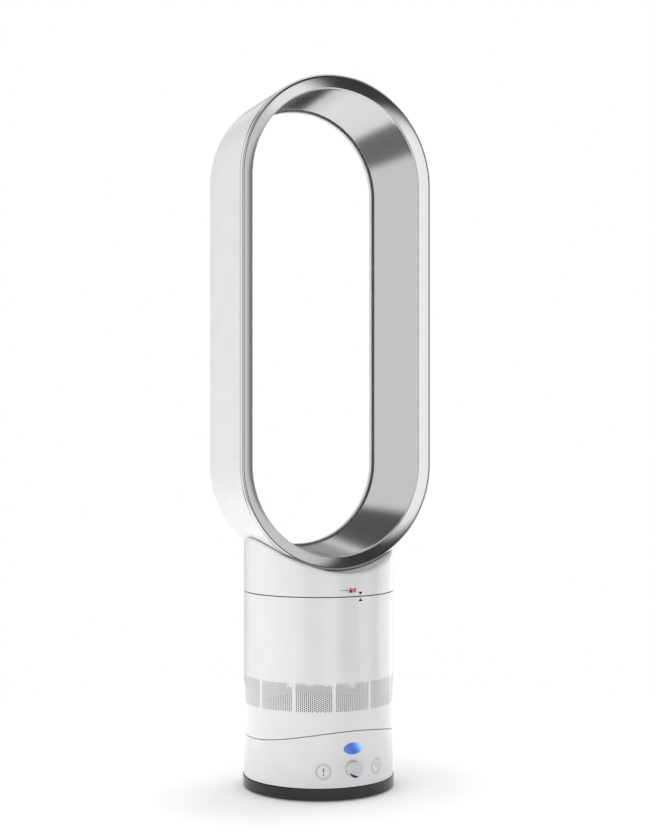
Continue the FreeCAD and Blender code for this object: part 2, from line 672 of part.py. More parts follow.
def make_bayonet():
    """Locking ring in the tower top, its seal, and the lugged collar that turns in it."""
    outer = "body_rad - wall - slip_fit"
    ring = turned([
        ("84", "ring_low"), (outer, "ring_low"), (outer, "ring_top"), ("ring_in", "ring_top"),
        ("ring_in", "ring_low + 4"), ("84", "ring_low + 4")])
    lips = sectors(value("lip_sweep"), "lip_low", "ring_top", "lip_in", "ring_in + 0.5")
    node(fuse(ring, lips), "lock_ring")
    node(tube("collar_out", "collar_in", "ring_low + 4", "collar_low - 0.4"), "neck_seal")
    collar = turned([
        ("collar_in", "collar_low"), ("collar_out", "collar_low"), ("collar_out", "seat_low"),
        (outer, "seat_low"), (outer, "seat_top"), ("collar_in", "seat_top")])
    lugs = sectors(value("lug_sweep"), "lug_low", "lug_top", "collar_out - 0.5", "lug_rad")
    node(fuse(collar, lugs), "bayonet_collar")
    screws = ring_of(6, "30", "collar_screw", "seat_top", "seat_top + 2.2", "collar_screw_ring")
    node(group(screws), "collar_screws")


# ---------------------------------------------------------------- loop and neck
def saddle(gap):
    """Round bar that follows the underside of the loop, carried on past both its faces."""
    body = DOC.addObject("PartDesign::Body", "Saddle")
    front = profile(body, "XY_Plane", [
        ("0", "- 120"), ("rim_half + " + gap, "- 120"), ("rim_half + " + gap, "0 - rim_front"),
        ("rear_half + " + gap, "rear_back"), ("rear_half - 2.5 + " + gap, "120"), ("0", "120")], "loop_low")
    spin(body, front)
    return body


def make_neck():
    """White collar whose top is scooped to seat the loop, with a port for the air."""
    outside = cut(disc("body_rad", "neck_seam + half_gap", "420"), saddle("saddle_gap"))
    inside = cut(disc("body_rad - wall", "neck_seam", "420"), saddle("saddle_gap + wall"))
    port = block("0 - port_half", "port_half", "0 - port_front", "port_back", "270", "330")
    node(cut(cut(outside, inside), port), "neck_collar")


def make_loop():
    """Outer and inner skins of the hollow loop, its front rim and the ribs between the skins."""
    blank = loop_ring([
        ("rim_half - 0.15", "- 55.9"), ("rear_half", "rear_back"), ("131.6", "62.4"), ("127.6", "65.5"),
        ("122", "66.3"), ("115.6", "65.8"), ("lip_half + 0.8", "64.9"), ("lip_half", "64.1"),
        ("lip_half", "58.5"), ("112.9", "58.5"), ("113.3", "61.6"), ("115.5", "63.4"),
        ("122", "64.1"), ("126.7", "63.3"), ("129.6", "61"), ("130.7", "56.6"), ("137.1", "- 55.9")])
    port = block("0 - port_half", "port_half", "0 - port_front", "port_back", "280", "308")
    node(cut(blank, port), "loop_outer_shell")
    inner = loop_ring([
        ("mouth_half", "- 50.4"), ("throat_half", "52"), ("114.5", "57.5"), ("116.3", "61.9"),
        ("117.8", "61.1"), ("116.2", "57"), ("115.8", "52"), ("122.8", "- 50.4")])
    node(inner, "loop_inner_shell")
    rim = loop_ring([
        ("rim_half", "- 56"), ("rim_half", "- 58.8"), ("138.2", "- 60.6"), ("136.4", "0 - rim_front"),
        ("122.6", "- 56.6"), ("mouth_half + 0.1", "- 55"), ("mouth_half", "- 50.5"),
        ("123.2", "- 50.5"), ("123.4", "- 54"), ("136.2", "- 58.5"), ("137.1", "- 57.8"),
        ("137.1", "- 56")])
    node(rim, "front_rim")
    ribs = []
    for high in ("480", "615", "750"):
        ribs.append(block("119.2", "132.8", "8", "11", high, high + " + 30"))
        ribs.append(block("- 132.8", "- 119.2", "8", "11", high, high + " + 30"))
    node(group(ribs), "duct_ribs")


# ---------------------------------------------------------------- check and write
def check_all():
    """Stop when any object failed or any sub-part is not a sound closed shape."""
    DOC.recompute()
    broken = [thing.Name for thing in DOC.Objects if "Invalid" in thing.State or "Error" in thing.State]
    if broken:
        raise RuntimeError("failed objects: " + ", ".join(broken))
    for thing in NODES:
        shape = thing.Shape
        if shape.isNull() or not shape.isValid() or not shape.Solids:
            raise RuntimeError("bad shape: " + thing.Label)


def write_all():
    os.makedirs("parts", exist_ok=True)
    for thing in NODES:
        shape = thing.Shape
        shape.exportStep("parts/%s.step" % thing.Label)
        print("%-18s solids %3d  volume %12.1f mm3" % (thing.Label, len(shape.Solids), shape.Volume))


make_foot()
make_ball_bearing()
make_turntable()
make_control_shell()
make_controls()
make_cradle()
make_tower_casing()
make_runners()
make_tower_floor_parts()
make_fan_unit()
make_rotor()
make_bayonet()
make_neck()
make_loop()
check_all()
write_all()
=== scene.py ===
# %% [markdown]
# # A bladeless tower fan, finished around its CAD frame
#
# The engineering model is loaded first and never moved.  It gives every body,
# joint and size.  The cells below add the visible skins, printed marks,
# finishes, light and camera.  Each cell says what the real piece is, what
# other ways there were to make it, and why this one was chosen.

# %% Load the frame
import json
import math

import bmesh
import bpy
from mathutils import Matrix, Vector


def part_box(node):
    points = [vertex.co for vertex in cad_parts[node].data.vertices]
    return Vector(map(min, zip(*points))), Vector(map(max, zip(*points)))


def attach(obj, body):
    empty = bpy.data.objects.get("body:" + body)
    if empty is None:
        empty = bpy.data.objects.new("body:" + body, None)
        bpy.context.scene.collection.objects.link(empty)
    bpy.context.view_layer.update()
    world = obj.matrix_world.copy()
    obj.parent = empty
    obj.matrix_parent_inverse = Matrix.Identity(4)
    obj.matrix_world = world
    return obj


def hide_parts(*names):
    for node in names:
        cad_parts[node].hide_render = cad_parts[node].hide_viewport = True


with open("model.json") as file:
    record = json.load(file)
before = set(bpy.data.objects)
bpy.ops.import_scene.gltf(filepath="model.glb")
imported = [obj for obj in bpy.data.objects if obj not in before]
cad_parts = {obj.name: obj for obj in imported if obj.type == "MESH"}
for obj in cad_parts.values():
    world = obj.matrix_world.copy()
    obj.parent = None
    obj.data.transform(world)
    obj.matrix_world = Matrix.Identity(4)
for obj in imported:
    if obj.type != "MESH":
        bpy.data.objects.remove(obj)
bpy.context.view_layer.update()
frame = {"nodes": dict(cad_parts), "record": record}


# %% [markdown]
# ## Sizes
#
# Everything here is in metres.  Lengths that the frame knows are read from it,
# so that a change in the CAD moves the skins too.  The rest are written in
# millimetres and multiplied by `MM`.

# %% Driving sizes
MM = 0.001

BODY_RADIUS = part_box("tower_shell")[1].x
NECK_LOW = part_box("neck_collar")[0].z
TOWER_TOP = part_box("tower_shell")[1].z
TILT_HEIGHT = 383.9 * MM
TILT_RADIUS = 311.3 * MM
WALL = 2.7 * MM

RIM_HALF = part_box("front_rim")[1].x
LOOP_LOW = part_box("front_rim")[0].z + RIM_HALF
LOOP_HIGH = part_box("front_rim")[1].z - RIM_HALF
print("loop centres at", round(LOOP_LOW, 4), "and", round(LOOP_HIGH, 4))

# %% [markdown]
# ## Small helpers
#
# A finished piece's object stays at the origin with its place in its mesh.
# `finish_mesh` closes a bmesh into such an object, rides it on its body and
# says which CAD nodes it stands for.  Edges sharper than a set angle stay
# sharp, and the rest shade smoothly.

# %% Mesh helpers
SHARP = math.radians(38)
FINE_WELD = 0.004 * MM
WELD = 0.01 * MM
SHEET_WELD = 0.02 * MM


def verts_of(geometry):
    return [item for item in geometry if isinstance(item, bmesh.types.BMVert)]


def everything(bm):
    return list(bm.verts) + list(bm.edges) + list(bm.faces)


def mark_sharp(bm):
    """Smooth shading, with a hard line along every edge that turns more than the set angle."""
    for face in bm.faces:
        face.smooth = True
    for edge in bm.edges:
        if len(edge.link_faces) == 2:
            edge.smooth = edge.calc_face_angle(0.0) < SHARP


def as_object(bm, name):
    """Object at the origin that holds the bmesh, which is freed."""
    mesh = bpy.data.meshes.new(name)
    bm.to_mesh(mesh)
    bm.free()
    holder = bpy.data.objects.new(name, mesh)
    bpy.context.collection.objects.link(holder)
    return holder


def finish_mesh(bm, name, body, material, replaces=(), recalc=True):
    """Turn a bmesh into an object that rides on a CAD body.  A thickened sheet needs no weld or turning."""
    if recalc:
        bmesh.ops.remove_doubles(bm, verts=bm.verts, dist=FINE_WELD)
        bmesh.ops.recalc_face_normals(bm, faces=bm.faces)
    mark_sharp(bm)
    piece = as_object(bm, name)
    piece.data.materials.append(material)
    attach(piece, body)
    if replaces:
        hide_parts(*replaces)
    print("%-22s %6d faces" % (name, len(piece.data.polygons)))
    return piece


def ring_edges(bm, points):
    """Closed ring of edges through (x, y, z) points."""
    verts = [bm.verts.new(point) for point in points]
    pairs = zip(verts, verts[1:] + verts[:1])
    return verts, [bm.edges.new(pair) for pair in pairs]


def arc(centre, radii, start, end, steps):
    """Points along part of an ellipse, angles in degrees."""
    points = []
    for step in range(steps + 1):
        angle = math.radians(start + (end - start) * step / steps)
        across = centre[0] + radii[0] * math.cos(angle)
        points.append((across, centre[1] + radii[1] * math.sin(angle)))
    return points


def wrap(bm):
    """Bend a flat sheet round the tower: x becomes the way round from the front, y the depth inwards."""
    for vert in bm.verts:
        turn = vert.co.x / BODY_RADIUS
        reach = BODY_RADIUS - vert.co.y
        vert.co = Vector((reach * math.sin(turn), -reach * math.cos(turn), vert.co.z))


# %% [markdown]
# ## Finishes
#
# Each material starts from what the real one is.  Colours are sRGB hex values
# turned to linear in one place.  `add` puts one node in a tree with its
# settings and links, so that every material below reads as a short recipe.

# %% Material helpers
TONE_SPAN = (0.35, 0.65)


def linear(code):
    """Linear RGBA of an sRGB hex colour."""
    channels = [int(code[place:place + 2], 16) / 255 for place in (0, 2, 4)]
    return tuple(c / 12.92 if c <= 0.04045 else ((c + 0.055) / 1.055) ** 2.4 for c in channels) + (1.0,)


def add(tree, kind, settings=None, inputs=None, links=None):
    """Add a node: settings are its own properties, inputs are socket values, links feed its sockets."""
    node = tree.nodes.new("ShaderNode" + kind)
    for name, content in (settings or {}).items():
        setattr(node, name, content)
    for name, content in (inputs or {}).items():
        node.inputs[name].default_value = content
    for name, socket in (links or {}).items():
        tree.links.new(socket, node.inputs[name])
    return node


def new_material(name, **inputs):
    """Material with one Principled shader whose constant sockets are set directly."""
    material = bpy.data.materials.new(name)
    material.use_nodes = True
    tree = material.node_tree
    tree.nodes.clear()
    shader = add(tree, "BsdfPrincipled", inputs={key.replace("_", " "): content
                                                 for key, content in inputs.items()})
    add(tree, "OutputMaterial", links={"Surface": shader.outputs[0]})
    return material, tree, shader


def mottled(tree, shader, light, dark, grain_mm, detail=3.0):
    """Colour that wanders between two close tones with a real grain size.  Returns the grain's noise."""
    noise = add(tree, "TexNoise", inputs={"Scale": 1000.0 / grain_mm, "Detail": detail},
                links={"Vector": add(tree, "TexCoord").outputs["Object"]})
    ramp = add(tree, "ValToRGB", links={"Fac": noise.outputs["Fac"]})
    for stop, place, code in zip(ramp.color_ramp.elements, TONE_SPAN, (dark, light)):
        stop.position = place
        stop.color = linear(code)
    tree.links.new(ramp.outputs["Color"], shader.inputs["Base Color"])
    return noise


def rough_range(tree, shader, source, low, high):
    """Roughness that follows a pattern between two values."""
    spread = add(tree, "MapRange", inputs={"To Min": low, "To Max": high}, links={"Value": source})
    tree.links.new(spread.outputs["Result"], shader.inputs["Roughness"])


def grain_bump(tree, shader, grain_mm, depth_mm, detail=2.0):
    """Fine surface relief from noise with a real grain size and depth."""
    noise = add(tree, "TexNoise", inputs={"Scale": 1000.0 / grain_mm, "Detail": detail},
                links={"Vector": add(tree, "TexCoord").outputs["Object"]})
    bump = add(tree, "Bump", inputs={"Strength": 1.0, "Distance": depth_mm * MM},
               links={"Height": noise.outputs["Fac"]})
    tree.links.new(bump.outputs["Normal"], shader.inputs["Normal"])


# %% [markdown]
# ### Gloss white ABS
#
# The casings are injection-moulded ABS with a polished tool finish.  ABS has
# an index of refraction near 1.54 and a thin, even gloss.  A very long, very
# shallow ripple is left by the moulding; it only shows where a bright edge is
# mirrored, so its relief is two hundredths of a millimetre over centimetres.

# %% Casing plastics
RIPPLE_DEPTH_MM = 0.02


def gloss_abs(name, light, dark, tone_mm, ripple_mm, roughness):
    """Polished ABS: nearly even colour under a gloss with a long shallow ripple."""
    material, tree, shader = new_material(name, IOR=1.54, Roughness=roughness)
    mottled(tree, shader, light, dark, tone_mm, detail=1.0)
    grain_bump(tree, shader, ripple_mm, RIPPLE_DEPTH_MM, detail=1.0)
    return material


# %% [markdown]
# ### Silver metallic lacquer
#
# The inside of the loop and its rim are plastic under a metallic lacquer: tiny
# aluminium flakes in clear coat.  The eye gets a soft, cool mirror with a
# faint sparkle.  A metal shader with medium roughness gives the mirror, and
# noise at flake size gives the sparkle.  Real flakes are about 0.03 mm, too
# fine to show, so the pattern is drawn at 0.6 mm.

# %% Lacquer
FLAKE_MM = 0.6


def silver_lacquer(name, light, dark, low, high):
    """Metallic lacquer whose roughness wanders between two values from flake to flake."""
    material, tree, shader = new_material(name, Metallic=1.0)
    flakes = mottled(tree, shader, light, dark, FLAKE_MM, detail=2.0)
    rough_range(tree, shader, flakes.outputs["Fac"], low, high)
    return material


# %% [markdown]
# ### Inner materials
#
# Most of these pieces are seen only through the grille or when the fan is
# opened, but each still gets the colour, gloss and texture of what it is: two
# close tones and a relief of the same grain, sized in real millimetres.

# %% Recipe for the inner materials
def plain_finish(name, light, dark, grain_mm, relief_mm, **inputs):
    """Mottled colour with a matching relief, for moulded, cast and machined parts."""
    material, tree, shader = new_material(name, **inputs)
    mottled(tree, shader, light, dark, grain_mm)
    grain_bump(tree, shader, grain_mm, relief_mm)
    return material


# %% [markdown]
# ### Display window
#
# The window is tinted polycarbonate with a lamp behind it.  The eye gets a
# blue that deepens low on the left and pales at the upper right, under a
# clear gloss.  The gradient runs along a slanted line across the window, in
# the window's own millimetres, and glows a little.

# %% Display window finish
SLANT = (0.84, 0.0, 0.54)
SLANT_START = -10.0 * MM
SLANT_END = 12.5 * MM


def lit_window_blue():
    """Tinted polycarbonate window, lit from behind: deep blue low on the left, pale at the upper right."""
    material, tree, shader = new_material("lit_blue_polycarbonate", IOR=1.58, Roughness=0.12,
                                          Emission_Strength=0.16)
    middle = (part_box("display_lens")[0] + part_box("display_lens")[1]) / 2
    moved = add(tree, "Mapping", {"vector_type": "TEXTURE"}, {"Location": middle},
                {"Vector": add(tree, "TexCoord").outputs["Object"]})
    slant = add(tree, "VectorMath", {"operation": "DOT_PRODUCT"}, {1: SLANT},
                {0: moved.outputs["Vector"]})
    across = add(tree, "MapRange", inputs={"From Min": SLANT_START, "From Max": SLANT_END},
                 links={"Value": slant.outputs["Value"]})
    ramp = add(tree, "ValToRGB", links={"Fac": across.outputs["Result"]})
    for place, code in ((0.4, "2557C4"), (0.62, "3878E2"), (0.8, "79C4F6")):
        ramp.color_ramp.elements.new(place).color = linear(code)
    ramp.color_ramp.elements[0].color = linear("3A6FD6")
    ramp.color_ramp.elements[-1].color = linear("B4E6FF")
    tree.links.new(ramp.outputs["Color"], shader.inputs["Base Color"])
    tree.links.new(ramp.outputs["Color"], shader.inputs["Emission Color"])
    return material


# %% Make the finishes
# Polished casing plastic: soft white with clear, slightly wavy reflections.
WHITE_ABS = gloss_abs("gloss_white_ABS", "E6E6E7", "E3E3E4", 35.0, 60.0, 0.16)
# The same plastic in black: almost all that is seen of it is what it mirrors.
BLACK_ABS = gloss_abs("gloss_black_ABS", "080808", "050505", 20.0, 45.0, 0.14)
# Lacquer with metal flakes: a soft grey mirror that blurs the room a little.
SILVER = silver_lacquer("silver_metallic_lacquer", "C9C9CA", "C4C4C5", 0.14, 0.2)
# The rim's lacquer is buffed, so the lines that it mirrors are crisper.
BRIGHT_RIM = silver_lacquer("polished_metallic_lacquer", "C9C9CA", "C4C4C5", 0.1, 0.16)
# Fine-textured plastic: light grey without a clear reflection.
SATIN_ABS = plain_finish("satin_grey_white_ABS", "D3D4D8", "CFD0D4", 3.0, 0.004, IOR=1.54, Roughness=0.3)
# Tinted window with a lamp behind it.
BLUE_WINDOW = lit_window_blue()
# Moulded rubber: nearly black, dull, with a grain that breaks up highlights.
RUBBER = plain_finish("moulded_rubber", "1A1A1A", "121212", 0.8, 0.03, IOR=1.52, Roughness=0.75)
# Turned steel: bright metal with blurred highlights from its fine tool marks.
STEEL = plain_finish("turned_steel", "B4B5B8", "9FA0A3", 1.2, 0.004, Metallic=1.0, Roughness=0.32)
# Sand-cast iron: dark, rough metal with a pebbled skin.
IRON = plain_finish("sand_cast_iron", "4A4A4C", "363637", 0.9, 0.08, Metallic=1.0, Roughness=0.6)
# Nylon: warm white and waxy.
NYLON = plain_finish("moulded_nylon", "E4E1D6", "DAD7CB", 2.5, 0.01, IOR=1.53, Roughness=0.45)
# Spark-textured grey plastic: matt, with a fine even grain.
GREY_ABS = plain_finish("textured_grey_ABS", "5C5D60", "505154", 0.5, 0.02, IOR=1.54, Roughness=0.55)
# Circuit board: green solder mask with a soft gloss over the weave.
BOARD = plain_finish("solder_masked_fibreglass", "1E5A36", "174A2B", 1.0, 0.01, IOR=1.5, Roughness=0.35)
# Open foam: dark and full of small holes, with no highlight at all.
FOAM = plain_finish("open_cell_foam", "3A3A3D", "1E1E20", 1.1, 0.5, IOR=1.45, Roughness=0.95)
# Nickel on ferrite: grey metal with a slight grain.
MAGNET = plain_finish("nickel_plated_ferrite", "8A8B90", "7A7B80", 1.5, 0.01, Metallic=1.0, Roughness=0.3)
# Printing inks: flat and even, less glossy than the casing under them.
# The black ink also makes the painted shade crescent on the dial.
BLACK_INK_AND_PAINTED_SHADE = plain_finish("black_printing_ink_and_painted_shade", "161616", "101010", 0.4, 0.004, IOR=1.5, Roughness=0.5)
GREY_INK = plain_finish("grey_printing_ink", "6E7073", "66686B", 0.4, 0.004, IOR=1.5, Roughness=0.5)
PALE_INK = plain_finish("pale_grey_printing_ink", "B4B5B7", "ADAEB0", 0.4, 0.004, IOR=1.5, Roughness=0.5)
RED_INK = plain_finish("red_printing_ink", "B8122E", "A50F28", 0.4, 0.004, IOR=1.5, Roughness=0.45)
ROSE_INK = plain_finish("rose_printing_ink", "DE5468", "D44A5E", 0.4, 0.004, IOR=1.5, Roughness=0.45)
print(len(bpy.data.materials), "materials")

# %% [markdown]
# ## The CAD nodes that stay
#
# A node whose shape is already right keeps its mesh and only gets its finish.

# %% Finish the carried-over nodes
FINISH_OF_SLOT = {
    "white_shell": WHITE_ABS, "black_foot": BLACK_ABS, "silver_skin": SILVER, "soft_rubber": RUBBER,
    "steel": STEEL, "cast_weight": IRON, "nylon": NYLON, "grey_plastic": GREY_ABS,
    "grille_grey": WHITE_ABS, "display_blue": BLUE_WINDOW, "board_green": BOARD,
    "foam_dark": FOAM, "magnet": MAGNET,
}
for entry in frame["record"]["subparts"]:
    part = frame["nodes"][entry["node"]]
    part.data.materials.clear()
    part.data.materials.append(FINISH_OF_SLOT[entry["material_slot"]])
print("finished", len(frame["nodes"]), "carried-over nodes")

# %% [markdown]
# ## The loop
#
# The real loop is a hollow ring made of two moulded skins and a front rim.
# Its shape is one outline carried round a path of two half circles and two
# straight sides.  A curve with a bevel object could do this, but its corners
# would be resampled; a spin about each arc's centre keeps the outline exact,
# so each skin is a ring of edges that is spun, extruded, spun and extruded.

# %% Loop sweep
LOOP_STEPS = 96


def last_ring(result):
    """Vertices and edges that a spin or an extrusion left at its end."""
    geometry = result.get("geom_last") or result["geom"]
    edges = [item for item in geometry if isinstance(item, bmesh.types.BMEdge)]
    return verts_of(geometry), edges


def straight_side(bm, edges, rise):
    """Carry the outline straight up or down, and return the ring at the far end."""
    result = bmesh.ops.extrude_edge_only(bm, edges=edges)
    verts, edges = last_ring(result)
    bmesh.ops.translate(bm, verts=verts, vec=(0, 0, rise))
    return verts, [edge for edge in edges if set(verts).issuperset(edge.verts)]


def round_end(bm, verts, edges, height):
    """Carry the outline half way round a centre at that height, and return the ring at the far end."""
    result = bmesh.ops.spin(bm, geom=verts + edges, cent=(0, 0, height), axis=(0, 1, 0),
                            angle=math.pi, steps=LOOP_STEPS)
    return last_ring(result)


def swept_round_loop(outline):
    """Closed ring from (half width, depth) points in millimetres."""
    bm = bmesh.new()
    verts, edges = ring_edges(bm, [(half * MM, depth * MM, LOOP_LOW) for half, depth in outline])
    verts, edges = round_end(bm, verts, edges, LOOP_LOW)
    verts, edges = straight_side(bm, edges, LOOP_HIGH - LOOP_LOW)
    verts, edges = round_end(bm, verts, edges, LOOP_HIGH)
    straight_side(bm, edges, LOOP_LOW - LOOP_HIGH)
    bmesh.ops.remove_doubles(bm, verts=bm.verts, dist=WELD)
    return bm


# %% [markdown]
# The outer skin is white.  It runs back from the rim, rounds the tail and ends
# in a thin lip that turns inside the loop.  The gap between that lip and the
# silver skin is the slot that the air leaves by.

# %% Outer skin
def outer_skin_outline():
    points = [(139.35, -55.9), (136.2, 0.0)]
    points += arc((122.0, 56.5), (10.95, 9.8), 0, 90, 12)
    points += arc((114.6, 62.4), (2.95, 3.1), 100, 180, 6)
    points += [(111.65, 59.2)]
    points += arc((112.25, 58.9), (0.6, 0.6), 180, 360, 4)
    points += arc((115.6, 60.9), (2.3, 2.4), 180, 100, 5)
    points += arc((122.0, 56.5), (8.7, 7.6), 90, 0, 12)
    points += [(134.0, 0.0), (137.1, -55.9)]
    return points


skin = swept_round_loop(outer_skin_outline())
finish_mesh(skin, "loop_outer_skin", "amplifier", WHITE_ABS, ["loop_outer_shell"])

# %% [markdown]
# The inner skin is the silver one.  It tapers from the mouth to the throat and
# curls away behind the lip of the white skin, so that the slot between them
# looks dark.

# %% Inner skin
def inner_skin_outline():
    """Smooth taper from the mouth to the throat, then a tail tucked behind the lip."""
    points = [(121.0, -50.4), (114.1, 51.5)]
    points += [(114.1, 53.2), (114.5, 55.2), (115.3, 57.4), (116.5, 59.6)]
    points += [(117.7, 58.8), (116.7, 56.6), (116.1, 54.0), (116.0, 51.5), (122.8, -50.4)]
    return points


skin = swept_round_loop(inner_skin_outline())
finish_mesh(skin, "loop_inner_skin", "amplifier", SILVER, ["loop_inner_shell"])

# %% [markdown]
# The rim closes the front.  Its face leans back towards the opening and both
# of its edges are rounded, the outer one more.  The roundings mirror the room
# as narrow dark and bright lines, so they get many segments.

# %% Front rim
def rim_outline():
    points = [(139.5, -55.9)]
    points += arc((135.9, -57.6), (3.6, 3.6), 0, -108, 12)
    points += arc((123.5, -54.7), (2.5, 2.5), -108, -180, 6)
    points += [(121.0, -50.5), (123.2, -50.5), (123.4, -54.0), (134.6, -58.0), (136.5, -57.4), (137.1, -55.9)]
    return points


skin = swept_round_loop(rim_outline())
finish_mesh(skin, "loop_front_rim", "amplifier", BRIGHT_RIM, ["front_rim"])

# %% [markdown]
# ## Tower casing and its grille
#
# The casing is a tube with twelve windows.  Cutting windows in a finished tube
# with booleans leaves long thin faces, so one twelfth is cut flat instead,
# repeated twelve times side by side and then bent round.  The lower edge
# follows the arc that the tower rocks along.

# %% Casing sheet
WINDOWS = 12
PITCH = math.tau * BODY_RADIUS / WINDOWS
WINDOW_HALF = 23.9 * MM
WINDOW_LOW = 114.2 * MM
WINDOW_TOP = 151.5 * MM
SEAM_HALF = 0.45 * MM


def wavy_edge(depth_along, radius):
    """Height of the rocking arc above a point that far forwards or back."""
    return TILT_HEIGHT - math.sqrt(radius ** 2 - depth_along ** 2)


def stood_up(bm, size, place):
    """Turn flat geometry of unit size upright, give it its width and height, and move it."""
    upright = Matrix.Rotation(math.radians(90), 4, "X")
    grow = Matrix.Diagonal((size[0], 1.0, size[1], 1.0))
    bmesh.ops.transform(bm, matrix=Matrix.Translation(place) @ grow @ upright, verts=bm.verts)
    return bm


def flat_sheet(width, low, top, columns, rows=1):
    """Upright flat sheet in the XZ plane, split into columns and rows."""
    bm = bmesh.new()
    bmesh.ops.create_grid(bm, x_segments=columns, y_segments=rows, size=0.5)
    return stood_up(bm, (width, top - low), (0, 0, (low + top) / 2))


def slice_sheet(bm, spot, normal):
    """Add a straight line of edges across the sheet."""
    bmesh.ops.bisect_plane(bm, geom=everything(bm), plane_co=spot, plane_no=normal)


def repeat_round(bm, count, step):
    """Lay copies of the sheet side by side.  Once bent, they go all the way round."""
    source = everything(bm)
    for number in range(1, count):
        copy = bmesh.ops.duplicate(bm, geom=source)["geom"]
        bmesh.ops.translate(bm, verts=verts_of(copy), vec=(step * number, 0, 0))


def thicken(bm, wall):
    """Give a bent sheet its wall, inwards.  Its faces are first turned to look away from the axis."""
    bmesh.ops.remove_doubles(bm, verts=bm.verts, dist=SHEET_WELD)
    bmesh.ops.recalc_face_normals(bm, faces=bm.faces)
    outward = 0.0
    for face in bm.faces:
        middle = face.calc_center_median()
        outward += face.calc_area() * face.normal.dot(Vector((middle.x, middle.y, 0)))
    if outward < 0:
        bmesh.ops.reverse_faces(bm, faces=bm.faces)
    bmesh.ops.solidify(bm, geom=bm.faces, thickness=wall)


# %% Cut, repeat and bend the casing
SHEET_BELOW = 45 * MM
SHEET_COLUMNS = 24

sheet = flat_sheet(PITCH, WINDOW_LOW - SHEET_BELOW, TOWER_TOP, SHEET_COLUMNS)
for height in (WINDOW_LOW, WINDOW_TOP):
    slice_sheet(sheet, (0, 0, height), (0, 0, 1))
for side in (-WINDOW_HALF, WINDOW_HALF):
    slice_sheet(sheet, (side, 0, 0), (1, 0, 0))
window = [face for face in sheet.faces if abs(face.calc_center_median().x) < WINDOW_HALF
          and WINDOW_LOW < face.calc_center_median().z < WINDOW_TOP]
bmesh.ops.delete(sheet, geom=window, context="FACES")
repeat_round(sheet, WINDOWS, PITCH)
wrap(sheet)
for vert in sheet.verts:
    if vert.co.z < WINDOW_LOW - SHEET_BELOW / 2:
        vert.co.z = wavy_edge(vert.co.y, TILT_RADIUS - SEAM_HALF)
thicken(sheet, WALL)
tower_casing = finish_mesh(sheet, "tower_casing", "tower", WHITE_ABS, ["tower_shell"],
                           recalc=False)

# %% [markdown]
# The mould leaves the window edges slightly rounded.  A live bevel does that
# and leaves the sheet itself simple.

# %% Rounded window edges
bevel = tower_casing.modifiers.new("rounded_edges", "BEVEL")
bevel.limit_method = "ANGLE"
bevel.angle_limit = math.radians(50)
bevel.width = 0.35 * MM
bevel.segments = 2
print("window edges rounded by", round(bevel.width / MM, 2), "mm")

# %% [markdown]
# The grille is punched straight through the wall: columns of small round
# holes, every other column half a step higher.  One hole cell is a circle
# whose rim is extruded out to a square with a vertex at each corner and each
# side's middle.  Cells moved by half a step then still share vertices, so the
# whole panel welds into one clean sheet.

# %% Perforated grille
HOLE_COLUMNS = 18
HOLE_ROWS = 14
CELL_WIDE = 2 * WINDOW_HALF / HOLE_COLUMNS
CELL_TALL = (WINDOW_TOP - WINDOW_LOW) / HOLE_ROWS
HOLE_SHARE = 0.36
PANEL_WALL = 1.2 * MM


def hole_cell():
    """One square cell with a round hole, lower left corner at the origin."""
    bm = bmesh.new()
    bmesh.ops.create_circle(bm, cap_ends=False, segments=8, radius=1.0)
    inner = list(bm.verts)
    result = bmesh.ops.extrude_edge_only(bm, edges=list(bm.edges))
    for vert in verts_of(result["geom"]):
        reach = max(abs(vert.co.x), abs(vert.co.y))
        vert.co = Vector((round(vert.co.x / reach) * 0.5, round(vert.co.y / reach) * 0.5, 0))
    for vert in inner:
        vert.co *= HOLE_SHARE
    return stood_up(bm, (CELL_WIDE, CELL_TALL), (CELL_WIDE / 2, 0, CELL_TALL / 2))


def blank_half_cell(bm, left, low):
    """Unpunched strip that fills the end of a shifted column, with a middle vertex to weld to."""
    spots = [(0, 0), (0.5, 0), (1, 0), (1, 0.5), (0.5, 0.5), (0, 0.5)]
    verts = [bm.verts.new((left + across * CELL_WIDE, 0, low + up * CELL_TALL)) for across, up in spots]
    bm.faces.new((verts[0], verts[1], verts[4], verts[5]))
    bm.faces.new((verts[1], verts[2], verts[3], verts[4]))


# %% Lay the cells out and bend the panels
panel = hole_cell()
cell = everything(panel)
for column in range(HOLE_COLUMNS):
    shifted = column % 2
    left = column * CELL_WIDE - WINDOW_HALF
    for row in range(HOLE_ROWS - shifted):
        copy = bmesh.ops.duplicate(panel, geom=cell)["geom"]
        low = WINDOW_LOW + (row + shifted / 2) * CELL_TALL
        bmesh.ops.translate(panel, verts=verts_of(copy), vec=(left, 0, low))
    if shifted:
        blank_half_cell(panel, left, WINDOW_LOW)
        blank_half_cell(panel, left, WINDOW_TOP - CELL_TALL / 2)
bmesh.ops.delete(panel, geom=verts_of(cell), context="VERTS")
repeat_round(panel, WINDOWS, PITCH)
wrap(panel)
thicken(panel, PANEL_WALL)
finish_mesh(panel, "perforated_grille", "tower", WHITE_ABS, ["intake_grille"], recalc=False)

# %% [markdown]
# ## Control casing
#
# The lower casing is one moulded tube with a saddle-shaped top edge and four
# openings.  A boolean in a finished tube would leave long thin faces that
# shade badly, so the openings are cut while the wall is still a flat slab of
# small cells.  The slab is then bent round, its upper part is stretched up to
# the rocking arc, and its two ends are welded.

